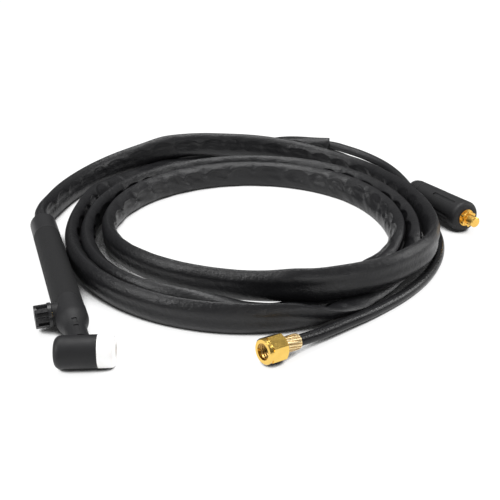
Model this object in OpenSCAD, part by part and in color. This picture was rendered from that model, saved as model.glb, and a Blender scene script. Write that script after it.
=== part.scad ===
// Air-cooled TIG welding torch with a hand valve, its coiled line set in a protective
// sleeve, a bayonet power plug and a gas hose that ends in a swivel nut.
//
// Frame: millimetres, +Z up. The handset lies on the surface z = 0 with its handle along
// +Y (rear) and its nozzle side towards +X. The origin is under the middle of the handset.

/* [Torch head] */
// Radius of the head's barrel and of its insulator ring
head_r = 11; // [10:0.1:12]
// Barrel length behind the handle's axis
head_back = 17.8; // [16.5:0.1:20]
// Barrel length in front of the handle's axis
head_front = 10.2; // [9:0.1:12]
// Forward tilt of the nozzle axis from square to the handle
head_tilt = 15.8; // [10:0.1:20]
// Rounding of the barrel's rear edge
head_round = 4.5; // [2:0.1:5]
// Length of the white insulator ring
insulator_len = 11.6; // [10:0.1:14]
// Rounding of the insulator's front edge
insulator_round = 3.3; // [1:0.1:4]
// Radius of the brass core in the barrel
core_r = 7.2; // [6.8:0.1:7.6]
// Radius of the core's nose in the insulator
core_nose_r = 6.4; // [6:0.1:6.6]
// How far the nose reaches into the insulator
core_nose_len = 6; // [4:0.1:7]
// Wall radius of the thread for the collet body
collet_thread_r = 4.3; // [3.8:0.1:4.6]
// Depth of the thread for the collet body
collet_thread_len = 12; // [10:0.1:12.5]
// Wall radius of the thread for the back cap
cap_thread_r = 5.4; // [5:0.1:5.8]
// Depth of the thread for the back cap
cap_thread_len = 9; // [7:0.1:10]
// Radius of the way through the core
core_way_r = 2.2; // [1.8:0.1:2.4]

/* [Neck and valve housing] */
// Radius of the housing where it is widest
housing_r = 11.2; // [11:0.1:11.8]
// Radius of the neck
neck_r = 7.6; // [7:0.1:8]
// Distance from the head's axis to the rear end of the neck
neck_end = 26; // [24:0.1:28]
// Distance from the head's axis to where the shoulder is full size
shoulder_end = 42; // [40:0.1:43]
// Radius of the copper neck tube
neck_tube_r = 3.5; // [3:0.1:3.8]
// Bore radius of the neck tube
neck_tube_bore_r = 2.2; // [1.6:0.1:2.4]
// Length of the shallow recess on the neck
recess_len = 16; // [10:0.1:18]
// Width of the shallow recess on the neck
recess_w = 3.4; // [2:0.1:4]

/* [Grip] */
// Outer radius of the grip
grip_r = 10.9; // [10.7:0.1:11.2]
// Inner radius of the grip
grip_bore_r = 9.4; // [9.3:0.05:9.6]
// Distance from the head's axis to the grip's front edge
grip_front = 53; // [52:0.1:54]
// Length of the grip
grip_len = 158; // [130:1:180]
// Rounding of the grip's rear edge
grip_round = 1.2; // [0.4:0.1:1.4]
// Width of the housing's tongue in the grip's front edge
tongue_w = 16; // [12:0.1:17]
// Length of the tongue
tongue_len = 11.5; // [9:0.1:14]

/* [Gas valve] */
// Distance from the head's axis to the valve's axis
valve_at = 54; // [53:0.1:55]
// Radius of the brass valve body
valve_body_r = 7.4; // [7:0.1:7.8]
// Radius of the valve's stem
stem_r = 2; // [1.8:0.1:2.2]
// Running clearance on the radius around the stem
stem_clear = 0.06; // [0.03:0.01:0.09]
// Radius of the boss that the knob stands on
boss_r = 8.2; // [7.5:0.1:8.5]
// Distance from the handle's axis to the boss's face
boss_out = 12.3; // [12:0.1:12.6]
// Radius of the knob's inner collar
knob_r = 8.9; // [8.4:0.1:9.5]
// Length of the knob
knob_len = 11.6; // [10:0.1:13]
// Number of ribs round the knob
knob_ribs = 8; // [6:1:12]
// Depth of the pockets between the ribs
knob_pocket = 1.5; // [0.8:0.1:2]

/* [Lines] */
// Diameter of the power cable
cable_d = 8.3; // [7.4:0.1:8.4]
// Diameter of the cable's copper conductor
conductor_d = 5.5; // [4:0.1:5.6]
// Diameter of the gas hose
hose_d = 8.3; // [7.4:0.1:8.4]
// Bore diameter of the gas hose
hose_bore_d = 5.9; // [5.6:0.1:6.2]
// Distance of each line's middle from the middle of the pair, in the handle
line_offset = 4.4; // [4.4:0.05:4.5]
// The same distance in the sleeve, where the lines touch
sleeve_line_offset = 4.25; // [4.2:0.05:4.35]
// Thickness of the sleeve, lying flat
sleeve_t = 10.1; // [9.9:0.1:10.3]
// Width of the sleeve, standing on its edge
sleeve_w = 24.2; // [23:0.1:25]
// Width of the sleeve where it lies flat under another turn
sleeve_w_flat = 21.8; // [21.4:0.1:22]
// Wall of the sleeve
sleeve_wall = 0.5; // [0.5:0.05:0.65]

/* [Plug] */
// Radius of the plug's rubber boot at its front
boot_r = 13.5; // [12.5:0.1:14]
// Radius of the boot at its cable end
boot_rear_r = 10.9; // [10:0.1:12]
// Length of the boot
boot_len = 78; // [70:1:84]
// Radius of the brass body in the boot
plug_body_r = 7.4; // [7:0.1:7.8]
// Radius of the contact pin
plug_pin_r = 4.5; // [4:0.1:4.8]
// Length of the contact pin in front of its collar
plug_pin_len = 9; // [7:0.5:12]
// Thickness of the lobed collar
collar_t = 3.5; // [2.5:0.1:4.5]
// Number of lobes round the collar
collar_lobes = 6; // [4:1:8]
// Number of long grooves round the boot
boot_grooves = 6; // [4:1:8]

/* [Gas hose end] */
// Size of the swivel nut across its flats
nut_af = 17; // [16:0.1:18]
// Length of the swivel nut
nut_len = 15.6; // [15:0.1:18]
// Wall radius of the nut's thread
nut_thread_r = 5.75; // [5.5:0.05:6]
// Length of the nut's thread
nut_thread_len = 10; // [8:0.1:10.1]
// Running clearance on the radius where the nut turns on its tail
nut_clear = 0.06; // [0.03:0.01:0.09]
// Radius of the knurled ferrule
ferrule_r = 5.6; // [5.3:0.1:5.9]
// Length of the knurled ferrule
ferrule_len = 12.5; // [11.5:0.1:16]

/* [Hidden] */
$fn = 64;
// Gap between pieces that seat on one another
seat = 0.1;
// Gap between soft pieces and what they meet
soft = 0.3;
// Small overlap that joins two shapes of one piece
join = 0.2;

// ---- Handset frame: s is the distance behind the head's axis, along the handle ----
axis_z = housing_r;
insulator_end = head_front + insulator_len;
grip_rear = grip_front + grip_len;
knob_in = boss_out + 0.4;
knob_out = knob_in + knob_len;
round_along = insulator_end - insulator_round;
round_across = head_r - insulator_round;
x_high = round_along * cos(head_tilt) + round_across * sin(head_tilt) + insulator_round;
s_low = -(round_along * sin(head_tilt) + round_across * cos(head_tilt) + insulator_round);
mid_x = (x_high - knob_out) / 2;
mid_s = (grip_rear + s_low) / 2;
rear_y = grip_rear - mid_s;

// Places a shape with its own +Z along the handle, towards the rear
module along_handle(s, up = 0) {
    translate([-mid_x, s - mid_s, axis_z + up]) rotate([-90, 0, 0]) children();
}

// Places a shape with its own +Z along the nozzle's axis
module along_head(d) {
    translate([-mid_x, -mid_s, axis_z]) rotate([0, 0, -head_tilt])
        translate([d, 0, 0]) rotate([0, 90, 0]) children();
}

// Places a shape with its own +Z along the valve's axis, outwards
module along_valve(d) {
    translate([-mid_x - d, valve_at - mid_s, axis_z]) rotate([0, -90, 0]) children();
}

// A ring about +Z
module ring(r_out, r_in, h) {
    difference() {
        cylinder(r = r_out, h = h);
        translate([0, 0, -1]) cylinder(r = r_in, h = h + 2);
    }
}

// A quarter-round corner, as points from the face to the side
function corner(r, edge, a0, a1, steps = 8) =
    [for (i = [0:steps]) let(a = a0 + (a1 - a0) * i / steps) edge + r * [cos(a), sin(a)]];

// ---- Head ----
core_back = head_back - 3.2;
core_front = head_front + core_nose_len;
socket_at = (core_r + neck_r * sin(head_tilt)) / cos(head_tilt) + seat;
neck_tube_in = 4.6;

module head_cover() {
    color([0.09, 0.09, 0.095]) difference() {
        along_head(0) rotate_extrude() polygon(concat(
            [[core_r + seat, head_front], [core_r + seat, -core_back], [cap_thread_r + 0.6, -core_back],
             [cap_thread_r + 0.6, -head_back]],
            corner(head_round, [head_r - head_round, -head_back + head_round], -90, 0),
            [[head_r, head_front]]));
        along_handle(socket_at) cylinder(r = neck_r + seat, h = head_r);
        along_handle(neck_tube_in) cylinder(r = neck_tube_r + seat, h = head_r);
    }
}

module cup_insulator() {
    color([0.95, 0.95, 0.93]) along_head(0) rotate_extrude() polygon(concat(
        [[core_nose_r + seat, head_front + seat], [core_nose_r + seat, core_front + seat],
         [collet_thread_r + 0.8, core_front + seat], [collet_thread_r + 0.8, insulator_end]],
        [for (p = corner(insulator_round, [head_r - insulator_round, round_along], 90, 0)) p],
        [[head_r, head_front + seat]]));
}

module head_core() {
    color([0.78, 0.6, 0.3]) difference() {
        along_head(0) union() {
            translate([0, 0, -core_back + seat]) cylinder(r = core_r, h = core_back - seat + head_front);
            translate([0, 0, head_front - join]) cylinder(r = core_nose_r, h = core_nose_len + join);
        }
        along_head(core_front - collet_thread_len) cylinder(r = collet_thread_r, h = collet_thread_len + 1);
        along_head(-core_back - 1) cylinder(r = cap_thread_r, h = cap_thread_len + 1);
        along_head(-core_back) cylinder(r = core_way_r, h = core_back + core_front);
        along_handle(neck_tube_in - seat) cylinder(r = neck_tube_r + seat, h = core_r);
        along_handle(0) cylinder(r = neck_tube_bore_r - 0.4, h = core_r);
    }
}

// ---- Neck, housing and the parts in it ----
housing_end = 60;
spigot_r = grip_bore_r - seat;
cavity_r = valve_body_r + 0.2;
body_front = 34;
body_rear = housing_end + 0.2;
port_r = 5.5;
port_out = 8;
tongue_tip = grip_front - 0.3 + tongue_len;
recess_depth = 0.7;

// The arch-shaped tongue as an upright prism, grown by a gap
module tongue_prism(gap) {
    half = tongue_w / 2 + gap;
    middle = tongue_tip - tongue_w / 2 - mid_s;
    translate([-mid_x, middle, axis_z]) linear_extrude(2 * grip_r) polygon(concat(
        [[half, grip_front - 1 - mid_s - middle]], corner(half, [0, 0], 0, 180, 24),
        [[-half, grip_front - 1 - mid_s - middle]]));
}

// The smooth shoulder from the neck to the housing's full size
function shoulder(steps = 12) = [for (i = [0:steps]) let(t = i / steps)
    [neck_r + (housing_r - neck_r) * (0.5 - 0.5 * cos(180 * t)), neck_end + (shoulder_end - neck_end) * t]];

module valve_housing() {
    color([0.1, 0.1, 0.105]) difference() {
        union() {
            along_handle(0) rotate_extrude() polygon(concat(
                [[neck_tube_r + seat, socket_at + seat], [neck_r, socket_at + seat]], shoulder(),
                [[housing_r, grip_front - 0.3], [spigot_r, grip_front - 0.3], [spigot_r, housing_end],
                 [cavity_r, housing_end], [cavity_r, body_front - seat],
                 [neck_tube_r + seat, body_front - seat]]));
            intersection() {
                along_handle(grip_front - 0.5) ring(grip_r, spigot_r - join, tongue_len + 2);
                tongue_prism(0);
            }
            difference() {
                along_valve(cavity_r) cylinder(r = boss_r, h = boss_out - cavity_r);
                along_handle(neck_end) cylinder(r = spigot_r - join, h = grip_len);
            }
        }
        along_valve(0) cylinder(r = port_r + seat, h = boss_out + 1);
        // Shallow recess along the top of the neck and shoulder
        translate([-mid_x - recess_w / 2, 14 - mid_s, axis_z + neck_r - recess_depth])
            cube([recess_w, 1 + recess_len / 2, housing_r]);
        // The rear half of the recess follows the rising shoulder
        intersection() {
            translate([-mid_x - recess_w / 2, 15 + recess_len / 2 - 0.01 - mid_s, axis_z])
                cube([recess_w, recess_len / 2, 2 * housing_r]);
            along_handle(0) rotate_extrude() polygon(concat(
                [for (p = shoulder()) p - [recess_depth, 0]], [[3 * housing_r, shoulder_end], [3 * housing_r, neck_end]]));
        }
    }
}

module neck_tube() {
    color([0.72, 0.45, 0.3]) along_handle(neck_tube_in) ring(neck_tube_r, neck_tube_bore_r, body_front + 5 - neck_tube_in);
}

barb_flange_r = 3.9;
thread_in = 4;
stub_r = 2.4;

module valve_body() {
    color([0.78, 0.6, 0.3]) difference() {
        union() {
            along_handle(body_front) cylinder(r = valve_body_r, h = body_rear - body_front);
            along_valve(0) cylinder(r = port_r, h = port_out);
        }
        along_handle(body_front - 1) cylinder(r = neck_tube_r + seat, h = 1 + 5 + seat);
        along_handle(body_front) cylinder(r = 1.3, h = valve_at - body_front);
        along_valve(-1.5) cylinder(r = stem_r + stem_clear, h = port_out);
        along_valve(3.5) cylinder(r = 3.7, h = port_out);
        along_handle(valve_at, line_offset) cylinder(r = 1.1, h = body_rear);
        along_handle(valve_at, 0) rotate([90, 0, 0]) cylinder(r = 0.9, h = line_offset);
        along_handle(body_rear - thread_in, line_offset) cylinder(r = stub_r + seat, h = thread_in + 1);
        along_handle(body_rear - thread_in, -line_offset) cylinder(r = stub_r + seat, h = thread_in + 1);
    }
}

module gland_washer() {
    color([0.93, 0.93, 0.9]) along_valve(3.6) ring(3.6, stem_r + stem_clear, 0.7);
}

module stem_o_ring() {
    color([0.12, 0.12, 0.12]) along_valve(5.2) rotate_extrude()
        translate([stem_r + stem_clear + 0.75, 0]) circle(r = 0.75, $fn = 32);
}

packing_out = boss_out - 1.2;

module packing_nut() {
    color([0.78, 0.6, 0.3]) difference() {
        union() {
            along_valve(6.1) cylinder(r = 3.6, h = 2.6);
            along_valve(8.6) cylinder(r = 5.3, h = packing_out - 8.6, $fn = 6);
        }
        along_valve(5) cylinder(r = stem_r + stem_clear, h = boss_out);
    }
}

stem_tip = -0.8;
stem_end = knob_out - 2.2;
screw_r = 1.2;

module valve_stem() {
    color([0.8, 0.65, 0.38]) difference() {
        along_valve(stem_tip) rotate_extrude() polygon([[0, 0], [0.5, 0], [stem_r, 2.4],
            [stem_r, stem_end - stem_tip], [0, stem_end - stem_tip]]);
        along_valve(stem_end - 7) cylinder(r = screw_r + 0.05, h = 8);
    }
}

knob_tip_r = knob_r - 0.9;
knob_root_r = knob_tip_r - knob_pocket;
knob_collar = 2.4;
knob_rim = 1.8;

module valve_knob() {
    color([0.07, 0.07, 0.075]) difference() {
        along_valve(knob_in) union() {
            cylinder(r = knob_r, h = knob_collar);
            cylinder(r = knob_root_r, h = knob_len);
            translate([0, 0, knob_len - knob_rim]) cylinder(r = knob_tip_r, h = knob_rim);
            for (i = [0:knob_ribs - 1]) rotate([0, 0, i * 360 / knob_ribs + 11])
                translate([0, -1.35, knob_collar - join]) cube([knob_tip_r + 0.2, 2.7, knob_len - knob_collar]);
        }
        along_valve(knob_in - 1) cylinder(r = stem_r + 0.05, h = stem_end - knob_in + 1.1);
        along_valve(stem_end - 1) cylinder(r = screw_r + 0.2, h = 4);
        along_valve(knob_out - 1.5) cylinder(r = 2.7, h = 2);
    }
}

module knob_screw() {
    color([0.6, 0.6, 0.6]) difference() {
        along_valve(0) union() {
            translate([0, 0, stem_end - 6]) cylinder(r = screw_r, h = knob_out - 1.4 - stem_end + 6);
            translate([0, 0, knob_out - 1.45]) cylinder(r = 2.5, h = 1.2);
        }
        along_valve(knob_out - 0.8) rotate([0, 0, 30]) translate([-3, -0.3, 0]) cube([6, 0.6, 1]);
    }
}

// ---- Grip ----
module grip_tube() {
    color([0.08, 0.08, 0.085]) difference() {
        along_handle(grip_front) rotate_extrude() polygon(concat(
            [[grip_bore_r, 0], [grip_r, 0]],
            corner(grip_round, [grip_r - grip_round, grip_len - grip_round], 0, 90),
            [[grip_bore_r, grip_len]]));
        tongue_prism(seat);
        along_valve(0) cylinder(r = boss_r + soft, h = 2 * housing_r);
    }
}

// ---- Inside the grip ----
flange_at = body_rear + 0.1;
hose_start = flange_at + 2.1;
barb_r = 2.2;
barb_len = 13;

// A hose barb along +Z: thread, flange and three barbs, with its bore
module barb(thread_r, thread_len, flange_r, flange_t, tube_len) {
    difference() {
        rotate_extrude() polygon([[0, -thread_len], [thread_r, -thread_len], [thread_r, 0], [flange_r, 0],
            [flange_r, flange_t], [barb_r, flange_t], [barb_r, flange_t + tube_len - 9],
            [barb_r + 0.35, flange_t + tube_len - 9], [barb_r, flange_t + tube_len - 6.2],
            [barb_r + 0.35, flange_t + tube_len - 6.2], [barb_r, flange_t + tube_len - 3.4],
            [barb_r + 0.35, flange_t + tube_len - 3.4], [barb_r - 0.3, flange_t + tube_len],
            [0, flange_t + tube_len]]);
        translate([0, 0, -thread_len - 1]) cylinder(r = 1.3, h = thread_len + flange_t + tube_len + 2);
    }
}

module gas_barb() {
    color([0.78, 0.6, 0.3]) along_handle(flange_at, line_offset)
        barb(stub_r, thread_in - 0.2, barb_flange_r, 2, barb_len);
}

module hose_clamp() {
    color([0.7, 0.7, 0.72]) along_handle(hose_start + 4, line_offset)
        ring(hose_d / 2 + 0.35, hose_d / 2 + seat, 5);
}

crimp_len = 22;
cable_start = flange_at + crimp_len + soft;
conductor_r = conductor_d / 2;

module cable_terminal() {
    color([0.72, 0.45, 0.3]) difference() {
        union() {
            along_handle(flange_at, -line_offset) cylinder(r = cable_d / 2 - 0.2, h = crimp_len);
            along_handle(flange_at - thread_in + 0.2, -line_offset) cylinder(r = stub_r, h = thread_in);
        }
        along_handle(flange_at + 6, -line_offset) cylinder(r = conductor_r + seat, h = crimp_len);
    }
}

bush_len = 8;

module rear_bush() {
    color([0.13, 0.13, 0.13]) difference() {
        along_handle(grip_rear - bush_len) cylinder(r = grip_bore_r - seat, h = bush_len - 0.2);
        for (up = [-line_offset, line_offset])
            along_handle(grip_rear - bush_len - 1, up) cylinder(r = hose_d / 2 + seat, h = bush_len + 2);
    }
}

// ---- Route of the line set ----
// Middle of the coil, measured from the middle of the grip's rear end
coil_at = [165, -64];
// Direction, seen from the middle, at which the sweep angle is zero; the sweep runs clockwise
coil_heading = 161;
floor_gap = 0.05;

// Stations of the sleeve's middle line: sweep angle, radius, lift off the surface and lean.
// A lean of 0 or a multiple of 180 stands the sleeve on its edge, and 90 lays it flat.
turns = [
    [15, 183.5, 0, -8], [30, 190, 0, -10], [45, 196.4, 2, -5], [56, 197, 6, -1], [63, 195, 10.3, 0],
    [69, 192, 11.1, 0], [75, 189.6, 10.8, 0], [81, 187.3, 9.8, 0], [92, 184, 8.2, 0],
    [105, 179, 5.5, 0], [120, 173, 2.2, 0], [132, 167.5, 1.5, -4], [143, 159.8, 2.2, -9],
    [152, 154.8, 3.6, -12], [160, 151.9, 4.8, -13], [170, 150.4, 5.8, -14], [180, 150.2, 6.6, -15],
    [190, 151.1, 7.8, -12], [198, 152.3, 9.2, -3], [206, 151.5, 10.4, 5], [215, 148, 11, 8],
    [225, 144.2, 11.3, 8], [233, 139.6, 11.4, 8], [241, 135.2, 11.4, 7], [249, 131.6, 11.4, 4],
    [256, 127.5, 11.7, 1], [264, 120.2, 8.2, 0], [272, 114, 5.4, 0], [281, 109.3, 3.6, 0],
    [295, 107.3, 2.6, 0], [315, 109.3, 2, 0], [345, 117, 1, 0], [375, 121.8, 0, -3],
    [405, 124.8, 0, -4], [450, 126.7, 0, -8], [495, 127, 0, -16], [515, 125.9, 0, -26],
    [530, 124.4, 0, -24], [545, 123.7, 0, -23], [552, 122.2, 0, -30], [559, 119.6, 0, -45],
    [566, 116.4, 0, -64], [574, 113.4, 0, -82], [583, 112.4, 0, -90], [592, 114.6, 0, -90],
    [602, 121.3, 0, -91], [612, 129, 0, -92], [621, 133.6, 0, -93], [631, 136.2, 0, -110],
    [642, 138.8, 0, -146], [655, 139.6, 0, -172], [675, 139.3, 0, -180], [720, 136, 0, -180],
    [765, 141, 0, -180], [810, 145.5, 0, -180], [840, 144.8, 0, -184], [858, 142, 0, -193],
    [880, 137.9, 0, -199], [900, 136.4, 0, -200], [912, 136.2, 0, -206], [919, 135.7, 0, -224],
    [926, 135, 0, -248], [934, 134.4, 0, -266], [943, 135.6, 0, -270], [951, 138.4, 0, -269],
    [958, 142.2, 0, -265], [964, 146.6, 0, -250], [970, 150.4, 0, -226], [978, 152.3, 0, -196],
    [990, 152.6, 0, -182], [1012, 152.5, 0, -180], [1035, 150.6, 0, -180], [1057, 148.9, 0, -180],
    [1080, 148.8, 0, -182], [1095, 151, 0, -192], [1108, 157.8, 0, -214], [1120, 166.5, 0, -240],
    [1131, 176.5, 0, -260], [1142, 186.8, 0, -269], [1153, 195.8, 0, -270], [1163, 202.3, 0, -256],
    [1171, 206.5, 0, -232], [1180, 210, 0, -204], [1190, 212.8, 0, -183]
];
// Largest step of the sweep angle between two rings: 24 rings to a turn
ring_step = 15;
// Straight run at each end of the sleeve
end_run = 11;
sleeve_sides = 6;

// Corners of the sleeve's section, standing on its edge: two flat sides and two edges
function section(t, w) = [[t / 2, w * 0.27], [0, w / 2], [-t / 2, w * 0.27],
    [-t / 2, -w * 0.27], [0, -w / 2], [t / 2, -w * 0.27]];
function width_at(lean) = sleeve_w - (sleeve_w - sleeve_w_flat) * sin(lean) * sin(lean);
function rest_height(lean) = floor_gap +
    max([for (p = section(sleeve_t, width_at(lean))) abs(p[1] * cos(lean) - p[0] * sin(lean))]);

// Smooth blend between two neighbouring stations
function slope(t, i) = let(a = max(i - 1, 0), b = min(i + 1, len(t) - 1)) (t[b] - t[a]) / (t[b][0] - t[a][0]);
function blend(t, i, f) = let(h = t[i + 1][0] - t[i][0])
    (2 * f * f * f - 3 * f * f + 1) * t[i] + (f * f * f - 2 * f * f + f) * h * slope(t, i)
    + (3 * f * f - 2 * f * f * f) * t[i + 1] + (f * f * f - f * f) * h * slope(t, i + 1);
turn_rows = [for (i = [0:len(turns) - 2])
    let(n = ceil((turns[i + 1][0] - turns[i][0]) / ring_step - 0.01)) for (k = [0:n - 1]) blend(turns, i, k / n),
    turns[len(turns) - 1]];

// A point from its sweep angle, radius and height
function polar(a, r, z) = [-mid_x + coil_at[0] + r * cos(coil_heading - a),
    rear_y + coil_at[1] + r * sin(coil_heading - a), z];

// Rings of the sleeve's middle line: place, lean and width
wound = [for (t = turn_rows) [polar(t[0], t[1], max(t[2], 0) + rest_height(t[3])), t[3], width_at(t[3])]];
wound_last = wound[len(wound) - 1][0];
wound_before = wound[len(wound) - 2][0];
end_way = (wound_last - wound_before) / norm(wound_last - wound_before);
spine = concat(
    [[[-mid_x, rear_y + soft, axis_z], 0, sleeve_w_flat], [[-mid_x, rear_y + soft + end_run, axis_z + 0.4], 0, sleeve_w_flat + 0.6]],
    wound,
    [[wound_last + end_run * end_way, wound[len(wound) - 1][1], width_at(wound[len(wound) - 1][1])]]);

// Side and edge directions of a ring, from its neighbours and its lean
function level(v) = [v[0], v[1], 0] / norm([v[0], v[1]]);
function side_of(rows, i) = let(d = level(rows[min(i + 1, len(rows) - 1)][0] - rows[max(i - 1, 0)][0])) [d[1], -d[0], 0];
function flat_way(rows, i) = cos(rows[i][1]) * side_of(rows, i) - sin(rows[i][1]) * [0, 0, 1];
function edge_way(rows, i) = sin(rows[i][1]) * side_of(rows, i) + cos(rows[i][1]) * [0, 0, 1];
function place(rows, i, corners) = [for (p = corners) rows[i][0] + p[0] * flat_way(rows, i) + p[1] * edge_way(rows, i)];

// Triangles between successive rings of n points, and across the two ends. Each four-sided piece is
// split along the diagonal that stands outwards, which depends on the way that the lean turns
function wall(n, rows, at = 0, flip = false) = [for (i = [0:len(rows) - 2]) for (j = [0:n - 1])
    let(a = at + i * n + j, b = at + i * n + (j + 1) % n, c = b + n, d = a + n, falls = rows[i + 1][1] < rows[i][1],
        two = falls ? [[a, b, d], [b, c, d]] : [[a, b, c], [a, c, d]])
    for (f = two) flip ? [f[0], f[2], f[1]] : f];
function cap(n, at, flip) = [for (j = [1:n - 2]) flip ? [at, at + j + 1, at + j] : [at, at + j, at + j + 1]];
function rim(n, out, in, flip) = [for (j = [0:n - 1])
    let(a = out + j, b = out + (j + 1) % n, c = in + (j + 1) % n, d = in + j)
    for (f = flip ? [[a, c, b], [a, d, c]] : [[a, b, c], [a, c, d]]) f];

module solid_tube(rows, corners) {
    n = len(corners);
    polyhedron(points = [for (i = [0:len(rows) - 1]) each place(rows, i, corners)],
        faces = concat(wall(n, rows), cap(n, 0, true), cap(n, (len(rows) - 1) * n, false)));
}

// outer and inner are lists of corners, one list for each ring
module hollow_tube(rows, outer, inner) {
    n = len(outer[0]);
    m = len(rows);
    polyhedron(points = concat([for (i = [0:m - 1]) each place(rows, i, outer[i])],
            [for (i = [0:m - 1]) each place(rows, i, inner[i])]),
        faces = concat(wall(n, rows), wall(n, rows, m * n, true), rim(n, 0, m * n, true),
            rim(n, (m - 1) * n, (2 * m - 1) * n, false)));
}

function round_section(d, sides) = [for (i = [0:sides - 1]) let(a = (i + 0.5) * 360 / sides) d / 2 * [cos(a), sin(a)]];

module protective_sleeve() {
    color([0.07, 0.07, 0.075]) hollow_tube(spine,
        [for (r = spine) section(sleeve_t, r[2])],
        [for (r = spine) section(sleeve_t - 2 * sleeve_wall, r[2] - 2 * sleeve_wall)]);
}

// Least gap of the sleeve to itself, on points along its faces, one turn or more apart
function face_points(i, f) = let(c = section(sleeve_t, spine[i][2]), a = place(spine, i, c), b = place(spine, i + 1, c))
    [for (j = [0:sleeve_sides - 1]) for (g = [0, 0.5])
        (1 - f) * ((1 - g) * a[j] + g * a[(j + 1) % sleeve_sides]) + f * ((1 - g) * b[j] + g * b[(j + 1) % sleeve_sides])];
near_limit = 34;
samples = [for (i = [0:len(spine) - 2]) for (f = [0, 0.5])
    [i, (1 - f) * spine[i][0] + f * spine[i + 1][0], face_points(i, f)]];
function least(a, b) = min([for (p = a) for (q = b) norm(p - q)]);
function self_gap() = min([for (u = samples) for (v = samples) if (v[0] > u[0] + 8 && norm(u[1] - v[1]) < near_limit)
    least(u[2], v[2])]);
function length_of(rows) = len(rows) < 2 ? 0 :
    let(d = [for (i = [0:len(rows) - 2]) norm(rows[i + 1][0] - rows[i][0])]) d * [for (i = d) 1];

// ---- Power cable: handset, sleeve, free run and plug ----
// Middle of the boot's rear face from the middle of the grip's rear end, and its heading
plug_at = [338.7, -33];
plug_heading = -84;
boot_round = 5;
// The boot is a cone that lies on its side, so its axis falls towards the cable
plug_tilt = asin((boot_r - boot_rear_r) / (boot_len - boot_round));
plug_z = boot_rear_r / cos(plug_tilt) + floor_gap;
boot_cable_in = 28;

function plug_point(d) = [-mid_x + plug_at[0] + d * cos(plug_tilt) * cos(plug_heading),
    rear_y + plug_at[1] + d * cos(plug_tilt) * sin(plug_heading), plug_z + d * sin(plug_tilt)];

module along_plug(d) {
    translate(plug_point(d)) rotate([0, 0, plug_heading]) rotate([0, 90 - plug_tilt, 0]) children();
}

// Free run of the cable: sweep angle, radius and height
cable_free = [[1199, 213.2, 15.2], [1203, 212, 13.6], [1207, 209.5, 12], [1211.5, 205, 10.6],
    [1216.5, 197.3, 9.8], [1221.5, 188.2, 9.8], [1225.5, 181.2, 10.2]];

// The lines turn about each other with the sleeve's lean, but a round line doesn't turn about itself
function offset_rows(up) = [for (i = [0:len(spine) - 1]) [spine[i][0] + up * edge_way(spine, i), 0]];
function handle_point(s, up) = [-mid_x, s - mid_s, axis_z + up];
cable_rows = concat(
    [for (s = [cable_start, grip_rear]) [handle_point(s, -line_offset), 0]],
    offset_rows(-sleeve_line_offset),
    [for (p = cable_free) [polar(p[0], p[1], p[2]), 0]],
    [for (d = [-9, 0, boot_cable_in]) [plug_point(d), 0]]);

module power_cable() {
    color([0.06, 0.06, 0.065]) solid_tube(cable_rows, round_section(cable_d, 8));
}

// Bare ends of the cable's copper conductor, in the terminal and in the plug
ferrule_at = boot_cable_in + 1.8;
module cable_conductor() {
    color([0.75, 0.42, 0.25]) {
        along_handle(flange_at + 6.5, -line_offset) cylinder(r = conductor_r, h = cable_start - flange_at - 6.5);
        along_plug(boot_cable_in) cylinder(r = conductor_r, h = conductor_in);
    }
}

// ---- Plug ----
body_at = boot_cable_in + 0.3;
clamp_depth = 24;
clamp_r = 4.8;
conductor_in = 23;
groove_at = 38;
groove_front = 10;

// Radius of the boot's cone at a distance from its cable end
function boot_side(d) = boot_rear_r + (boot_r - boot_rear_r) * d / (boot_len - boot_round);

module plug_boot() {
    color([0.08, 0.08, 0.085]) difference() {
        along_plug(0) rotate_extrude() polygon(concat(
            [[cable_d / 2 + seat, boot_cable_in], [cable_d / 2 + seat, 0]],
            corner(3.2, [boot_rear_r - 3.6, 3.2], -90, 0),
            // Grip rings near the cable end
            [for (k = [0:3]) let(d = 5 + 2.6 * k) each [[boot_side(d) - 0.5, d], [boot_side(d), d + 0.6],
                [boot_side(d), d + 1.8], [boot_side(d) - 0.5, d + 2.4]]],
            [[boot_side(16.5), 16.5]],
            corner(boot_round, [boot_r - boot_round, boot_len - boot_round], 0, 90),
            [[plug_body_r + seat, boot_len], [plug_body_r + seat, boot_cable_in]]));
        // Long shallow finger grooves, parallel to the side of the cone
        for (i = [0:boot_grooves - 1]) along_plug(groove_at) rotate([0, 0, (i + 0.5) * 360 / boot_grooves])
            translate([boot_side(groove_at) + 1.4, 0, 0]) rotate([0, plug_tilt, 0])
                cylinder(r = 2.4, h = boot_len - groove_front - groove_at);
    }
}

module plug_pin() {
    collar_r = plug_body_r - 1.6;
    color([0.85, 0.62, 0.25]) difference() {
        union() {
            along_plug(body_at) cylinder(r = plug_body_r, h = boot_len - body_at);
            along_plug(boot_len - join) {
                cylinder(r = collar_r, h = collar_t + join);
                for (i = [0:collar_lobes - 1]) rotate([0, 0, i * 360 / collar_lobes])
                    translate([collar_r, 0, 0]) cylinder(r = 1.4, h = collar_t + join);
            }
            along_plug(boot_len + collar_t - join) rotate_extrude() polygon([[0, 0], [plug_pin_r, 0],
                [plug_pin_r, plug_pin_len + join - 0.8], [plug_pin_r - 0.8, plug_pin_len + join],
                [0, plug_pin_len + join]]);
        }
        along_plug(body_at - 1) cylinder(r = clamp_r, h = clamp_depth + 1);
        for (d = [8, 17]) along_plug(body_at + d) rotate([90, 0, 0]) cylinder(r = 2.9, h = 2 * plug_body_r);
    }
}

module cable_ferrule() {
    color([0.72, 0.45, 0.3]) along_plug(ferrule_at) ring(clamp_r - seat, conductor_r + seat, 21);
}

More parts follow.
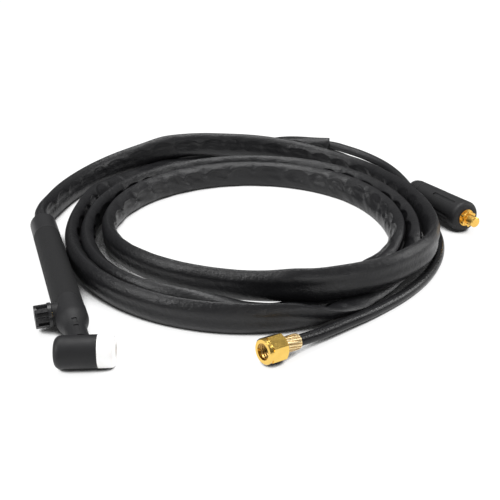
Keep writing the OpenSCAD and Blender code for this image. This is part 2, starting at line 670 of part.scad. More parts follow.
module clamp_screws() {
    color([0.35, 0.35, 0.36]) for (d = [8, 17]) along_plug(body_at + d) rotate([90, 0, 0]) difference() {
        translate([0, 0, clamp_r]) cylinder(r = 2.8, h = plug_body_r - 0.7 - clamp_r);
        translate([0, 0, plug_body_r - 1.8]) cylinder(r = 1.7, h = 3, $fn = 6);
    }
}

// ---- Gas hose and its end ----
// Middle of the nut's front face from the middle of the grip's rear end, and the hose's heading
nut_at = [110.2, -249];
nut_heading = 17.6;
// Fall of the nut's axis towards the hose, which comes down to the surface there
nut_tilt = 5;
nut_corner_r = nut_af / 2 / cos(30);
nut_z = nut_corner_r * cos(nut_tilt) + (nut_len - 2) * sin(nut_tilt) + floor_gap;

function nut_point(d) = [-mid_x + nut_at[0] + d * cos(nut_tilt) * cos(nut_heading),
    rear_y + nut_at[1] + d * cos(nut_tilt) * sin(nut_heading), nut_z - d * sin(nut_tilt)];

module along_nut(d) {
    translate(nut_point(d)) rotate([0, 0, nut_heading]) rotate([0, 90 + nut_tilt, 0]) children();
}

hose_free = [[1199, 211.7, 5.8], [1204, 206.3, 4.5], [1209, 198.5, 4.3], [1214.5, 188.5, 4.3], [1220, 178.8, 4.3],
    [1226, 169, 4.3], [1232, 162, 4.3], [1239, 159.2, 4.3], [1247, 159.3, 4.3], [1255, 159.7, 4.3],
    [1263, 159.2, 4.3], [1271, 158.3, 4.3], [1279, 157.2, 4.3], [1287, 156.1, 4.3], [1295, 155.2, 4.3],
    [1303, 155, 4.3], [1311, 155.8, 4.5], [1318, 158.2, 5], [1325, 162, 5.8]];
ferrule_front = nut_len + 0.8;
ferrule_rear = ferrule_front + ferrule_len;
tail_shoulder = ferrule_front + 1.2;
// The hose's end is cut upright, so its top edge comes nearest to the shoulder
hose_end_gap = 0.1 + hose_d / 2 * tan(nut_tilt);
hose_rows = concat(
    [for (s = [hose_start, grip_rear]) [handle_point(s, line_offset), 0]],
    offset_rows(sleeve_line_offset),
    [for (p = hose_free) [polar(p[0], p[1], p[2]), 0]],
    [for (d = [ferrule_rear + 17, ferrule_rear + 8, ferrule_rear, tail_shoulder + hose_end_gap]) [nut_point(d), 0]]);

module gas_hose() {
    color([0.09, 0.09, 0.095]) hollow_tube(hose_rows, [for (r = hose_rows) round_section(hose_d, 8)],
        [for (r = hose_rows) round_section(hose_bore_d, 8)]);
}

tail_neck_r = 4.1;
tail_head_at = nut_len - 2.6;
seal_t = 1.2;
nut_relief_r = nut_thread_r + 0.3;

module hose_tail() {
    color([0.8, 0.62, 0.3]) difference() {
        union() {
            along_nut(tail_head_at - 1.6 - seat) cylinder(r = nut_thread_r - 0.4, h = 1.6);
            along_nut(tail_head_at - seat - join) cylinder(r = tail_neck_r, h = tail_shoulder - tail_head_at + seat + join);
            along_nut(tail_shoulder) rotate_extrude() polygon([[0, -join], [barb_r, -join], [barb_r, 3],
                [barb_r + 0.35, 3], [barb_r, 5.8], [barb_r + 0.35, 5.8], [barb_r, 8.6],
                [barb_r + 0.35, 8.6], [barb_r - 0.3, 12], [0, 12]]);
        }
        along_nut(0) cylinder(r = 1.3, h = ferrule_rear + 5);
    }
}

module hose_seal() {
    color([0.85, 0.85, 0.8]) along_nut(tail_head_at - 1.6 - 2 * seat - seal_t) ring(nut_thread_r - 0.4, 2, seal_t);
}

knurls = 24;
module hose_ferrule() {
    color([0.86, 0.72, 0.42]) difference() {
        along_nut(ferrule_front) union() {
            cylinder(r = ferrule_r - 0.3, h = ferrule_len);
            for (i = [0:knurls - 1]) rotate([0, 0, i * 360 / knurls])
                translate([ferrule_r - 0.5, -0.35, 1]) cube([0.5, 0.7, ferrule_len - 2]);
        }
        along_nut(tail_shoulder) cylinder(r = hose_d / 2 + seat, h = ferrule_len);
        along_nut(0) cylinder(r = tail_neck_r + seat, h = ferrule_rear);
    }
}

module hose_nut() {
    flange_t = 3;
    color([0.85, 0.65, 0.25]) difference() {
        union() {
            along_nut(0) rotate_extrude() polygon([[0, 0], [nut_af / 2 - 0.4, 0], [nut_af / 2 + 0.4, 0.8],
                [nut_af / 2 + 0.4, flange_t], [0, flange_t]]);
            intersection() {
                along_nut(flange_t - join) cylinder(r = nut_corner_r, h = nut_len - flange_t + join, $fn = 6);
                along_nut(0) rotate_extrude() polygon([[0, 0], [nut_af / 2 + 0.4, 0], [nut_corner_r + 0.4, 3.6],
                    [nut_corner_r + 0.4, nut_len - 2], [nut_af / 2 - 0.6, nut_len], [0, nut_len]]);
            }
        }
        along_nut(-1) cylinder(r = nut_thread_r, h = nut_thread_len + 2);
        // Relief behind the thread, where the seal and the tail's head sit
        along_nut(nut_thread_len) cylinder(r = nut_relief_r, h = tail_head_at - nut_thread_len);
        along_nut(0) cylinder(r = tail_neck_r + nut_clear, h = nut_len + 1);
    }
}

echo(sleeve_rings = len(spine), sleeve_length = length_of(spine), sleeve_gap_to_itself = self_gap());
echo(cable_rings = len(cable_rows), cable_length = length_of(cable_rows));
echo(hose_rings = len(hose_rows), hose_length = length_of(hose_rows));

head_cover();
cup_insulator();
head_core();
valve_housing();
neck_tube();
valve_body();
gland_washer();
stem_o_ring();
packing_nut();
valve_stem();
valve_knob();
knob_screw();
grip_tube();
gas_barb();
hose_clamp();
cable_terminal();
rear_bush();
protective_sleeve();
power_cable();
cable_conductor();
gas_hose();
plug_boot();
plug_pin();
cable_ferrule();
clamp_screws();
hose_tail();
hose_seal();
hose_ferrule();
hose_nut();
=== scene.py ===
# %% [markdown]
# # A TIG torch with its line set wound in a coil
# A welder holds the handset. A long soft sleeve carries the power cable and the gas hose
# to it, and each of those ends in its own connector. The rigid pieces come from a packed
# CAD model, already in place. This lesson makes the soft pieces, the finishes and the light.

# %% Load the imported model
import math

import bpy
import numpy as np
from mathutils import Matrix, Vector


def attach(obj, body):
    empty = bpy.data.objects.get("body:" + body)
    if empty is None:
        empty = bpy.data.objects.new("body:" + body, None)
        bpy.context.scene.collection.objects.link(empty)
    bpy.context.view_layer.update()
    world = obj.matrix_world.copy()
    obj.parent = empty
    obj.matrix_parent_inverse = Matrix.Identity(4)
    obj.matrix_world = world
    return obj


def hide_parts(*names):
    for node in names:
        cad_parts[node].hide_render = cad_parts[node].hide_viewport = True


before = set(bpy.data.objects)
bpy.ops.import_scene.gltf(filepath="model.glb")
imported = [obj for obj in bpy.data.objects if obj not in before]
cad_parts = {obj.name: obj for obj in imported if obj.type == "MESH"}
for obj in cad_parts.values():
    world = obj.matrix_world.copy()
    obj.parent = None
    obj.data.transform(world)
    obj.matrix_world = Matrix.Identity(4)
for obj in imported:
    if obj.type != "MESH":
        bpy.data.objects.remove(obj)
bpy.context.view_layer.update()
MM = 0.001

# %% [markdown]
# ## The camera
# The camera comes first, because every later choice is judged through it. It looks down at
# 26 degrees with a long lens, so that the coil's far side isn't squeezed. Two points fix it:
# where it stands and what it looks at. Both are given from the rear end of the grip.

# %% Camera
grip_end = Vector((0.5512, 113.373, 0.0))
VIEW_TURN = math.radians(19)
AIM_RIGHT, AIM_AWAY = 176.96, -26.92
STAND_BACK, STAND_UP = 636.6, 310.5


def from_view(right, away, up):
    """A point given along the camera's own right and depth, turned into the model's frame."""
    dx, dy = right + AIM_RIGHT, away + AIM_AWAY
    cos_turn, sin_turn = math.cos(VIEW_TURN), math.sin(VIEW_TURN)
    return Vector((dx * cos_turn + dy * sin_turn, dy * cos_turn - dx * sin_turn, up)) + grip_end


stand = from_view(0, -STAND_BACK, STAND_UP)
aim = from_view(0, 0, 0)
lens = bpy.data.cameras.new("main_camera")
lens.lens = 61.2
lens.sensor_width = 36
lens.clip_start = 0.01
camera = bpy.data.objects.new("main_camera", lens)
camera.location = stand * MM
camera.rotation_euler = (aim - stand).to_track_quat("-Z", "Y").to_euler()
bpy.context.collection.objects.link(camera)
bpy.context.scene.camera = camera
print("camera stands at, mm:", [round(v, 1) for v in stand])

# %% [markdown]
# ## The route of the line set
# A coil of stiff sleeve isn't a spiral from a formula. It wanders, twists over from one edge
# to the other and climbs over itself. So it is written as a table of stations, with a sweep
# angle, a radius, a lift off the table and a lean, and a smooth curve is drawn through them.
# A lean of 0 or a multiple of 180 degrees stands the flat sleeve on its edge, and 90 lays it down.

# %% Stations
turns = [
    (15, 183.5, 0, -8), (30, 190, 0, -10), (45, 196.4, 2, -5), (56, 197, 6, -1), (63, 195, 10.3, 0),
    (69, 192, 11.1, 0), (75, 189.6, 10.8, 0), (81, 187.3, 9.8, 0), (92, 184, 8.2, 0),
    (105, 179, 5.5, 0), (120, 173, 2.2, 0), (132, 167.5, 1.5, -4), (143, 159.8, 2.2, -9),
    (152, 154.8, 3.6, -12), (160, 151.9, 4.8, -13), (170, 150.4, 5.8, -14), (180, 150.2, 6.6, -15),
    (190, 151.1, 7.8, -12), (198, 152.3, 9.2, -3), (206, 151.5, 10.4, 5), (215, 148, 11, 8),
    (225, 144.2, 11.3, 8), (233, 139.6, 11.4, 8), (241, 135.2, 11.4, 7), (249, 131.6, 11.4, 4),
    (256, 127.5, 11.7, 1), (264, 120.2, 8.2, 0), (272, 114, 5.4, 0), (281, 109.3, 3.6, 0),
    (295, 107.3, 2.6, 0), (315, 109.3, 2, 0), (345, 117, 1, 0), (375, 121.8, 0, -3),
    (405, 124.8, 0, -4), (450, 126.7, 0, -8), (495, 127, 0, -16), (515, 125.9, 0, -26),
    (530, 124.4, 0, -24), (545, 123.7, 0, -23), (552, 122.2, 0, -30), (559, 119.6, 0, -45),
    (566, 116.4, 0, -64), (574, 113.4, 0, -82), (583, 112.4, 0, -90), (592, 114.6, 0, -90),
    (602, 121.3, 0, -91), (612, 129, 0, -92), (621, 133.6, 0, -93), (631, 136.2, 0, -110),
    (642, 138.8, 0, -146), (655, 139.6, 0, -172), (675, 139.3, 0, -180), (720, 136, 0, -180),
    (765, 141, 0, -180), (810, 145.5, 0, -180), (840, 144.8, 0, -184), (858, 142, 0, -193),
    (880, 137.9, 0, -199), (900, 136.4, 0, -200), (912, 136.2, 0, -206), (919, 135.7, 0, -224),
    (926, 135, 0, -248), (934, 134.4, 0, -266), (943, 135.6, 0, -270), (951, 138.4, 0, -269),
    (958, 142.2, 0, -265), (964, 146.6, 0, -250), (970, 150.4, 0, -226), (978, 152.3, 0, -196),
    (990, 152.6, 0, -182), (1012, 152.5, 0, -180), (1035, 150.6, 0, -180), (1057, 148.9, 0, -180),
    (1080, 148.8, 0, -182), (1095, 151, 0, -192), (1108, 157.8, 0, -214), (1120, 166.5, 0, -240),
    (1131, 176.5, 0, -260), (1142, 186.8, 0, -269), (1153, 195.8, 0, -270), (1163, 202.3, 0, -256),
    (1171, 206.5, 0, -232), (1180, 210, 0, -204), (1190, 212.8, 0, -183)]
print("stations:", len(turns), "sweep in turns:", round((turns[-1][0] - turns[0][0]) / 360, 2))

# %% [markdown]
# ## From stations to points
# Between two stations a cubic curve keeps the slope at each of them. The sleeve rests on the
# table, so its height follows from how far it leans: on its edge its middle is half its width
# up, and lying down it is half its thickness up. Flattened out, it is also a little narrower.

# %% Points along the route
THICK, WIDE, WIDE_FLAT = 10.1, 24.2, 21.8
SHOULDER = 0.27  # where the flat side ends, as a part of the width
TABLE_GAP = 0.05
MOST_SWEEP = 15  # degrees between two rings
HEADING = 161  # where the coil's sweep starts, in degrees
coil_mid = np.array([grip_end.x + 165, grip_end.y - 64])


def cubic(f, span, start, end, start_slope, end_slope):
    """A cubic from start to end, at the fraction f of a span, with a given slope at each."""
    return ((2 * f**3 - 3 * f**2 + 1) * start + (f**3 - 2 * f**2 + f) * span * start_slope
            + (3 * f**2 - 2 * f**3) * end + (f**3 - f**2) * span * end_slope)


def slope(i):
    a, b = max(i - 1, 0), min(i + 1, len(turns) - 1)
    return (np.array(turns[b], float) - np.array(turns[a])) / (turns[b][0] - turns[a][0])


def half_height(lean):
    lean = math.radians(lean)
    wide = WIDE - (WIDE - WIDE_FLAT) * math.sin(lean) ** 2
    corners = [(THICK / 2, SHOULDER * wide), (0, wide / 2), (-THICK / 2, SHOULDER * wide)]
    return TABLE_GAP + max(abs(y * math.cos(lean) - x * math.sin(lean)) for x, y in corners)


def on_coil(sweep, radius, height):
    a = math.radians(HEADING - sweep)
    return np.array([coil_mid[0] + radius * math.cos(a), coil_mid[1] + radius * math.sin(a), height])


rings = []
for i in range(len(turns) - 1):
    here, there = np.array(turns[i], float), np.array(turns[i + 1], float)
    span = turns[i + 1][0] - turns[i][0]
    count = math.ceil(span / MOST_SWEEP - 0.01)
    rings += [cubic(k / count, span, here, there, slope(i), slope(i + 1)) for k in range(count)]
rings.append(np.array(turns[-1], float))
print("rings from the stations:", len(rings))

# %% [markdown]
# ## The ends of the sleeve
# The sleeve comes straight out of the handset's rear mouth, on the handset's axis, before it
# starts to wind. At its open end it runs on straight for the same short way.

# %% Whole route of the sleeve
AXIS = 11.2
END_REACH = 11
MOUTH_RISE = 0.4
mouth = np.array([grip_end.x, grip_end.y + 0.3, AXIS])
wound = [on_coil(a, r, max(up, 0) + half_height(lean)) for a, r, up, lean in rings]
last_step = wound[-1] - wound[-2]
sleeve_way = [mouth, mouth + (0, END_REACH, MOUTH_RISE)] + wound
sleeve_way.append(wound[-1] + END_REACH * last_step / np.linalg.norm(last_step))
leans = [0.0, 0.0] + [r[3] for r in rings] + [turns[-1][3]]
print("points of the route:", len(sleeve_way))


# %% [markdown]
# ## One smooth curve
# The same few lines of code draw every soft line here. They pass a curve through the points
# and cut it into even steps, which keeps the mesh even where the stations are crowded.

# %% Smooth curve through points
def smooth(points, step, extra=None):
    """Even steps along a curve through points; extra is a column of numbers carried along."""
    pts = np.array(points, float)
    col = np.zeros((len(pts), 1)) if extra is None else np.array(extra, float).reshape(len(pts), -1)
    data = np.hstack([pts, col])
    gap = np.linalg.norm(np.diff(pts, axis=0), axis=1)
    at = np.concatenate([[0], np.cumsum(gap)])
    change = np.diff(data, axis=0) / gap[:, None]
    before, after = gap[:-1, None], gap[1:, None]
    rate = np.zeros_like(data)
    rate[1:-1] = (change[:-1] * after + change[1:] * before) / (before + after)
    rate[0], rate[-1] = change[0], change[-1]

    def read(where):
        i = np.clip(np.searchsorted(at, where, side="right") - 1, 0, len(gap) - 1)
        span = gap[i][:, None]
        return cubic((where - at[i])[:, None] / span, span, data[i], data[i + 1], rate[i], rate[i + 1])

    fine = read(np.linspace(0, at[-1], int(at[-1] / (step / 4))))
    run = np.concatenate([[0], np.cumsum(np.linalg.norm(np.diff(fine[:, :3], axis=0), axis=1))])
    even = np.linspace(0, run[-1], int(run[-1] / step) + 1)
    out = np.stack([np.interp(even, run, fine[:, c]) for c in range(fine.shape[1])], 1)
    return out[:, :3], out[:, 3:], even


sleeve_line, sleeve_lean, sleeve_run = smooth(sleeve_way, 2.0, leans)
sleeve_lean = np.radians(sleeve_lean[:, 0])
print("sleeve length, mm:", round(sleeve_run[-1], 1), "rings:", len(sleeve_line))


# %% [markdown]
# ## Which way is flat
# A ribbon needs two directions at each step: across its flat side and along its width. The
# lean turns them about the line of travel, so a twist in the table becomes a twist in the mesh.

# %% Directions across the ribbon
def level_ways(line, lean):
    step = np.gradient(line, axis=0)
    step[:, 2] = 0
    step /= np.linalg.norm(step, axis=1)[:, None]
    side = np.stack([step[:, 1], -step[:, 0], np.zeros(len(step))], 1)
    up = np.array([0.0, 0.0, 1.0])
    flat = np.cos(lean)[:, None] * side - np.sin(lean)[:, None] * up
    edge = np.sin(lean)[:, None] * side + np.cos(lean)[:, None] * up
    return flat, edge


flat_way, edge_way = level_ways(sleeve_line, sleeve_lean)
print("twist from end to end, degrees:", round(math.degrees(sleeve_lean[-1] - sleeve_lean[0])))


# %% [markdown]
# ## Meshes from rings
# A tube is a stack of rings joined by four-sided faces. One helper turns a grid of points into
# a mesh object. Another writes how far along and how far round each point is, so that a
# material can follow the tube.

# %% Grid to mesh
def tube_object(name, grid, close_ends=False, rounded=True):
    m, n = grid.shape[:2]
    verts = (grid.reshape(-1, 3) * MM).tolist()
    faces = [(i * n + j, i * n + (j + 1) % n, (i + 1) * n + (j + 1) % n, (i + 1) * n + j)
             for i in range(m - 1) for j in range(n)]
    if close_ends:
        faces += [tuple(range(n - 1, -1, -1)), tuple(range((m - 1) * n, m * n))]
    mesh = bpy.data.meshes.new(name)
    mesh.from_pydata(verts, [], faces)
    mesh.polygons.foreach_set("use_smooth", [rounded] * len(mesh.polygons))
    piece = bpy.data.objects.new(name, mesh)
    bpy.context.collection.objects.link(piece)
    print(name, "faces:", len(faces))
    return piece


def write_coords(piece, along, around):
    """Stores mm along the tube and mm round it as a vector on each point."""
    layer = piece.data.attributes.new("tube_place", "FLOAT_VECTOR", "POINT")
    a, b = np.meshgrid(along, around, indexing="ij")
    layer.data.foreach_set("vector", np.stack([a, b, 0 * a], -1).reshape(-1))


# %% [markdown]
# ## Waves that wander
# Cloth and plastic never repeat exactly. A short sum of sines with fixed phases gives a
# wandering value that is the same on every run, which a random number would not be.

# %% Wandering value
def wander(s, period, seed):
    total = 0
    for k in range(1, 5):
        angle = 2 * np.pi * s / period * (0.57 + 0.41 * k) + seed * 1.7 * k + k * k
        total = total + np.sin(angle) / (k + 0.6)
    return total / 1.6


def swell(value, width):
    """A soft hump, 1 where the value is 0."""
    return np.exp(-(value / width) ** 2)


print("a wandering value over 300 mm:", np.round(wander(np.arange(0, 300, 50), 100, 1), 2))

# %% [markdown]
# ## The sleeve's section
# The sleeve is a thin flat-laid tube of soft black plastic over two round lines. Its section
# is a flattened lens with two creased edges. Points are crowded towards the creases, where the
# shape turns fastest. At the handset's mouth the section is gathered, narrower and thicker.

# %% Section of the sleeve
ROUND = 76
LENS_SHARP, LENS_FULL = 2.8, 0.75
MOUTH_WIDE, MOUTH_THICK, GATHER_REACH = 17.6, 12.6, 26
phase = (np.arange(ROUND) + 0.5) / ROUND * 2 * np.pi
across_edge = np.sin(phase)
across_flat = np.sign(np.cos(phase)) * (1 - np.abs(across_edge) ** LENS_SHARP) ** LENS_FULL
near_mouth = np.clip(sleeve_run / GATHER_REACH, 0, 1)
gather = near_mouth * near_mouth * (3 - 2 * near_mouth)
wide_here = WIDE - (WIDE - WIDE_FLAT) * np.sin(sleeve_lean) ** 2
wide_here = MOUTH_WIDE + (wide_here - MOUTH_WIDE) * gather
thick_here = MOUTH_THICK + (THICK - MOUTH_THICK) * gather
print("points round the section:", ROUND)

# %% [markdown]
# ## Scallops
# Where the sleeve bends, its inner side is too long for the way it has to go, so it buckles
# into scallops that hang from the upper edge like a curtain. Each has three parts: a rim that
# stands out above a wavy hem, a swelling at the hem's lowest tip, and a soft drape that runs
# down from that tip. Their beat wanders, so that no two are alike.

# %% Scallops on the inner side
SCALLOP = 25  # mm from tip to tip
HEM_HEIGHT, HEM_WAVE, HEM_DROP = 6.8, 1.3, 5.0
RIM, TIP, DRAPE = 2.0, 1.2, 0.8  # how far each part stands out


def scallops(s, height):
    """How far the buckled side stands out, s mm along the sleeve and at a height on it."""
    beat = 2 * np.pi * s / SCALLOP + 2.4 * wander(s, 190, 1)
    hang = np.abs(np.cos(beat / 2))
    hem = HEM_HEIGHT + HEM_WAVE * wander(s, 110, 2) - HEM_DROP * (1 - hang) ** 1.5
    over = height - hem
    off_tip = np.mod(beat, 2 * np.pi) - np.pi
    rim = (0.5 + 0.5 * np.tanh(over / 0.5)) * np.exp(-np.clip(over, 0, 99) / 6)
    tip = swell(off_tip, 0.7) * swell(over + 0.8, 2.0)
    drape = swell(off_tip + 0.14 * over, 0.6) * np.clip(-over / 3, 0, 1) * swell(height - 2, 13)
    return RIM * rim + TIP * tip + DRAPE * drape


def slackness(s):
    """The first turn is drawn tight, and the innermost turn buckles most."""
    buckled = 0.4 + 0.6 * np.clip((s - 650) / 300, 0, 1) + swell(s - 1030, 115)
    return np.clip(0.95 + 0.5 * wander(s, 210, 4), 0.7, 1.5) * buckled


print("scallops along the sleeve:", round(sleeve_run[-1] / SCALLOP))

# %% [markdown]
# ## The sleeve's surface
# The scallops go on the inner side only. The outer side is stretched over the two lines, so it
# has slow swells, and a faint valley runs between the lines on both sides. Lying down, both
# sides are slack. Where the sleeve climbs over other turns its lower edge hangs down a little,
# and at the mouth it is pleated, as if tied.

# %% Wrinkled surface
VALLEY, VALLEY_WIDE = 0.42, 2.6
CLIMBS = ((61, 195.5, 30), (248, 132.3, 48))  # sweep, radius and reach of each climb
CLIMB_SAG, CLIMB_HEIGHT = 0.2, 21
PLEATS, PLEAT_DEPTH, PLEAT_REACH = 5, 0.75, 18


def sleeve_grid():
    s = sleeve_run[:, None]
    sign = np.sign(across_flat)[None, :]
    half_wide = wide_here[:, None] / 2
    x = across_flat[None, :] * thick_here[:, None] / 2
    y = across_edge[None, :] * half_wide
    x = x - VALLEY * swell(y, VALLEY_WIDE) * sign * (np.abs(across_flat)[None, :] > 0.6)
    facing = sign * np.cos(sleeve_lean)[:, None]
    height = y * np.cos(sleeve_lean)[:, None]
    fade = np.clip(1 - (np.abs(y) / half_wide) ** 6, 0, 1)
    slow = 0.6 * wander(s + 2.2 * height, 34, 7) * swell(height + 2, 7)
    inner = np.clip(facing, 0, 1) * fade
    x = x + sign * inner * slackness(s) * (scallops(s, height) + slow) * gather[:, None]
    outer = np.clip(-facing, 0, 1) * fade
    x = x + sign * outer * (0.16 * wander(s + 2 * y, 75, 3) + 0.22 * swell(np.abs(y) - 5.4, 2.4))
    for sweep, radius, reach in CLIMBS:
        off_climb = np.linalg.norm(sleeve_line - on_coil(sweep, radius, CLIMB_HEIGHT), axis=1)
        sag = CLIMB_SAG * swell(s - sleeve_run[np.argmin(off_climb)], reach)
        y = y * (1 + sag * (across_edge < 0)[None, :])
    lying = np.abs(np.sin(sleeve_lean))[:, None] * fade
    x = x + sign * lying * 0.3 * wander(s + 1.5 * y * sign, 38, 9)
    loosening = np.exp(-sleeve_run / PLEAT_REACH)[:, None]
    pleat = PLEAT_DEPTH * np.cos(PLEATS * phase + 1.0)[None, :] * loosening
    x = x + pleat * np.cos(phase)[None, :]
    y = y + pleat * np.sin(phase)[None, :]
    return (sleeve_line[:, None, :] + x[..., None] * flat_way[:, None, :]
            + y[..., None] * edge_way[:, None, :])


outside = sleeve_grid()
outside[..., 2] = np.maximum(outside[..., 2], TABLE_GAP)
print("highest point of the sleeve, mm:", round(outside[..., 2].max(), 1))

# %% [markdown]
# ## The open end
# The sleeve's far end is cut and open, so its wall shows. The last rings are copied, drawn in
# towards the middle and joined to the end the other way round.

# %% Sleeve with its open end
LIP_RINGS, LIP_SCALE = 22, 0.9
end_line = sleeve_line[-LIP_RINGS:, None, :]
inside = end_line + (outside[-LIP_RINGS:] - end_line) * LIP_SCALE
sleeve = tube_object("sleeve", np.concatenate([outside, inside[::-1]]))
write_coords(sleeve, np.concatenate([sleeve_run, sleeve_run[-LIP_RINGS:][::-1]]),
             across_edge * 12 + across_flat * 3)
print("sleeve points:", len(sleeve.data.vertices))


# %% [markdown]
# ## Where the connectors are
# The plug's boot is a cone that lies on the table, so its axis rises a little, and the nut
# lies on one flat with its hose lifted. Both axes are worked out once, because the cable and
# the hose have to run into them dead straight.

# %% Axes of the plug and the nut
def on_axis(start, turn, tilt, d):
    """The point d mm from start, along a heading and a tilt."""
    level = d * math.cos(tilt)
    return np.array([start[0] + level * math.cos(turn), start[1] + level * math.sin(turn),
                     start[2] + d * math.sin(tilt)])


BOOT_REAR_R, BOOT_FRONT_R, BOOT_CONE = 10.9, 13.5, 73
plug_turn, plug_tilt = math.radians(-84), math.asin((BOOT_FRONT_R - BOOT_REAR_R) / BOOT_CONE)
plug_rear = (grip_end.x + 338.7, grip_end.y - 33, BOOT_REAR_R / math.cos(plug_tilt) + TABLE_GAP)
nut_turn, nut_tilt = math.radians(17.6), math.radians(-5)
nut_front = (grip_end.x + 110.2, grip_end.y - 249, 11.013)


def plug_point(d):
    return on_axis(plug_rear, plug_turn, plug_tilt, d)


def nut_point(d):
    return on_axis(nut_front, nut_turn, nut_tilt, d)


print("plug starts at, mm:", np.round(plug_point(0), 1), "nut at, mm:", np.round(nut_point(0), 1))


# %% [markdown]
# ## The two lines
# The power cable and the gas hose lie side by side in the sleeve all the way, and part where
# it ends. Each is one round tube along one curve: from the handset's mouth, through the
# sleeve, then on its own to its connector. The cable bridges over the hose once.

# %% Routes of the cable and the hose
LINE_GAP, LINE_D = 4.25, 8.3
IN_GRIP, GAP_IN_GRIP = 25, 4.4
cable_free = [(1199, 213.2, 15.2), (1203, 212, 13.6), (1207, 209.5, 12), (1211.5, 205, 10.6),
              (1216.5, 197.3, 9.8), (1221.5, 188.2, 9.8), (1225.5, 181.2, 10.2)]
hose_free = [(1199, 211.7, 5.8), (1204, 206.3, 4.5), (1209, 198.5, 4.3), (1214.5, 188.5, 4.3),
             (1220, 178.8, 4.3), (1226, 169, 4.3), (1232, 162, 4.3), (1239, 159.2, 4.3),
             (1247, 159.3, 4.3), (1255, 159.7, 4.3), (1263, 159.2, 4.3), (1271, 158.3, 4.3),
             (1279, 157.2, 4.3), (1287, 156.1, 4.3), (1295, 155.2, 4.3), (1303, 155, 4.3),
             (1311, 155.8, 4.5), (1318, 158.2, 5), (1325, 162, 5.8)]


def in_sleeve(offset):
    _, edge = level_ways(np.array(sleeve_way), np.radians(leans))
    return [p + offset * e for p, e in zip(sleeve_way, edge)]


cable_way = ([mouth + (0, -IN_GRIP, -GAP_IN_GRIP)] + in_sleeve(-LINE_GAP)
             + [on_coil(*p) for p in cable_free] + [plug_point(d) for d in (-9, 0, 28)])
hose_way = ([mouth + (0, -IN_GRIP, GAP_IN_GRIP)] + in_sleeve(LINE_GAP)
            + [on_coil(*p) for p in hose_free] + [nut_point(d) for d in (45.9, 36.9, 28.9, 18.1)])
print("points of the cable:", len(cable_way), "of the hose:", len(hose_way))


# %% [markdown]
# ## Round tubes
# Each ring of a round tube stands square to its line. One direction is level, and the other
# is square to that and to the line, turned so that it always points up.

# %% Cable and hose
TUBE_STEP, TUBE_SIDES = 3.0, 24


def round_tube(name, points):
    line, _, run = smooth(points, TUBE_STEP)
    flat, _ = level_ways(line, np.zeros(len(line)))
    along = np.gradient(line, axis=0)
    along /= np.linalg.norm(along, axis=1)[:, None]
    edge = np.cross(along, flat)
    edge *= np.sign(edge[:, 2:3])
    a = np.arange(TUBE_SIDES) / TUBE_SIDES * 2 * np.pi
    grid = line[:, None, :] + LINE_D / 2 * (np.cos(a)[None, :, None] * flat[:, None, :]
                                            + np.sin(a)[None, :, None] * edge[:, None, :])
    piece = tube_object(name, grid, close_ends=True)
    write_coords(piece, run, a * LINE_D / 2)
    return piece, line, run[-1]


cable, cable_line, cable_long = round_tube("power_lead", cable_way)
hose, hose_line, hose_long = round_tube("gas_lead", hose_way)
print("cable, mm:", round(cable_long), "hose, mm:", round(hose_long))

# %% [markdown]
# ## The soft lines take the place of their CAD solids
# Each soft line stands for its CAD solid, which is hidden, and rides on the body that carries it.

# %% Cords
for piece, stands_for, skin in ((sleeve, "protective_sleeve", "sleeve_black"),
                                (cable, "power_cable", "cable_black"),
                                (hose, "gas_hose", "hose_black")):
    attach(piece, "root")
    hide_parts(stands_for)
print("cords declared:", sleeve.name, cable.name, hose.name)


# %% [markdown]
# ## Materials
# Every finish is made of nodes, so that it has no edge and no image to lose. One helper makes
# the shader. The others add one node each and hand back its output, so that a finish reads
# like a sentence.

# %% Helpers for nodes
def finish(name, color, rough, metal=0.0, specular=0.5):
    mat = bpy.data.materials.new(name)
    mat.use_nodes = True
    tree = mat.node_tree
    shader = tree.nodes["Principled BSDF"]
    shader.inputs["Base Color"].default_value = (*color, 1)
    shader.inputs["Roughness"].default_value = rough
    shader.inputs["Metallic"].default_value = metal
    shader.inputs["Specular IOR Level"].default_value = specular
    return mat, tree, shader


def node(tree, kind, **values):
    made = tree.nodes.new(kind)
    for key, value in values.items():
        if key in made.inputs:
            made.inputs[key].default_value = value
        else:
            setattr(made, key, value)
    return made


def maths(tree, operation, *values):
    """One maths node. Each value is a plain number or the output of another node."""
    made = node(tree, "ShaderNodeMath", operation=operation)
    for socket, value in zip(made.inputs, values):
        if isinstance(value, (int, float)):
            socket.default_value = value
        else:
            tree.links.new(value, socket)
    return made.outputs[0]


def spread(tree, value, low, high, to_low=0.0, to_high=1.0):
    """Stretches a value from one span to another."""
    made = node(tree, "ShaderNodeMapRange")
    for key, number in (("From Min", low), ("From Max", high), ("To Min", to_low), ("To Max", to_high)):
        made.inputs[key].default_value = number
    tree.links.new(value, made.inputs["Value"])
    return made.outputs["Result"]


def mixed(tree, factor, first, second):
    """Mixes two colours, each of them plain or the output of a node."""
    made = node(tree, "ShaderNodeMix", data_type="RGBA")
    tree.links.new(factor, made.inputs[0])
    for socket, color in ((made.inputs[6], first), (made.inputs[7], second)):
        if isinstance(color, tuple):
            socket.default_value = (*color, 1)
        else:
            tree.links.new(color, socket)
    return made.outputs[2]


print("node helpers:", [f.__name__ for f in (finish, node, maths, spread, mixed)])


# %% [markdown]
# ## Grain and variation
# Two patterns serve nearly every finish. Grain is a fine relief from a noise, given in bumps
# per metre and in depth. Variation lets a colour or a gloss wander slowly over the surface.

# %% Helpers for surfaces
def noise_at(tree, **values):
    """A noise that stays in place on the object."""
    place = node(tree, "ShaderNodeTexCoord")
    noise = node(tree, "ShaderNodeTexNoise", **values)
    tree.links.new(place.outputs["Object"], noise.inputs["Vector"])
    return noise.outputs["Fac"]


